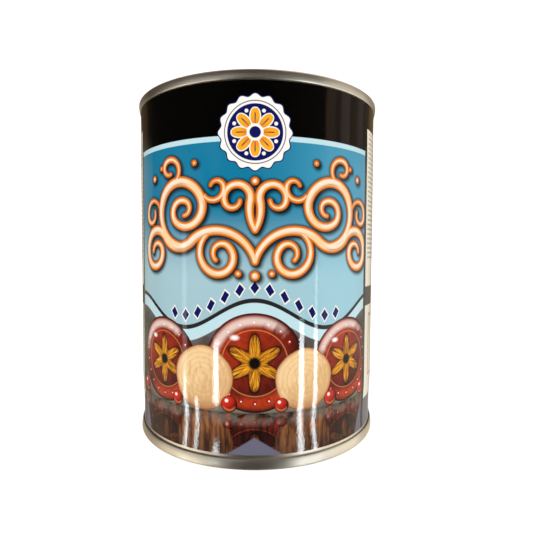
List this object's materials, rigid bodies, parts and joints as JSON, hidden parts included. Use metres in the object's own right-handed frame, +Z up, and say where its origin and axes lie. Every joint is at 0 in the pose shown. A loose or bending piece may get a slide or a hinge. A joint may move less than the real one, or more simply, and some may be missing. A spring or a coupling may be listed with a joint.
{
  "type": "printed steel food can",
  "caption": "Sealed round steel food can with a printed and lacquered body, double-seamed beaded ends, and whole peeled water chestnuts packed inside.",
  "frame": {"origin": "centre of the bottom rim, in the plane the can stands on", "axes": "+Z up along the can's axis, -Y towards the front of the print"},
  "size_m": [0.0874, 0.0874, 0.1159],
  "materials": {
    "print": "gloss",
    "tinplate": "satin",
    "sealing_compound": "matte",
    "chestnut_flesh": "satin"
  },
  "bodies": {
    "root": {"can_body": "print", "top_end": "tinplate", "bottom_end": "tinplate", "top_seam_compound": "sealing_compound", "bottom_seam_compound": "sealing_compound", "chestnut_01": "chestnut_flesh", "chestnut_02": "chestnut_flesh", "chestnut_03": "chestnut_flesh", "chestnut_04": "chestnut_flesh", "chestnut_05": "chestnut_flesh", "chestnut_06": "chestnut_flesh", "chestnut_07": "chestnut_flesh", "chestnut_08": "chestnut_flesh", "chestnut_09": "chestnut_flesh", "chestnut_10": "chestnut_flesh", "chestnut_11": "chestnut_flesh", "chestnut_12": "chestnut_flesh", "chestnut_13": "chestnut_flesh", "chestnut_14": "chestnut_flesh", "chestnut_15": "chestnut_flesh", "chestnut_16": "chestnut_flesh", "chestnut_17": "chestnut_flesh", "chestnut_18": "chestnut_flesh", "chestnut_19": "chestnut_flesh", "chestnut_20": "chestnut_flesh", "chestnut_21": "chestnut_flesh", "chestnut_22": "chestnut_flesh", "chestnut_23": "chestnut_flesh", "chestnut_24": "chestnut_flesh", "chestnut_25": "chestnut_flesh", "chestnut_26": "chestnut_flesh", "chestnut_27": "chestnut_flesh", "chestnut_28": "chestnut_flesh", "chestnut_29": "chestnut_flesh", "chestnut_30": "chestnut_flesh", "chestnut_31": "chestnut_flesh", "chestnut_32": "chestnut_flesh", "chestnut_33": "chestnut_flesh", "chestnut_34": "chestnut_flesh", "chestnut_35": "chestnut_flesh"}
  },
  "joints": []
}
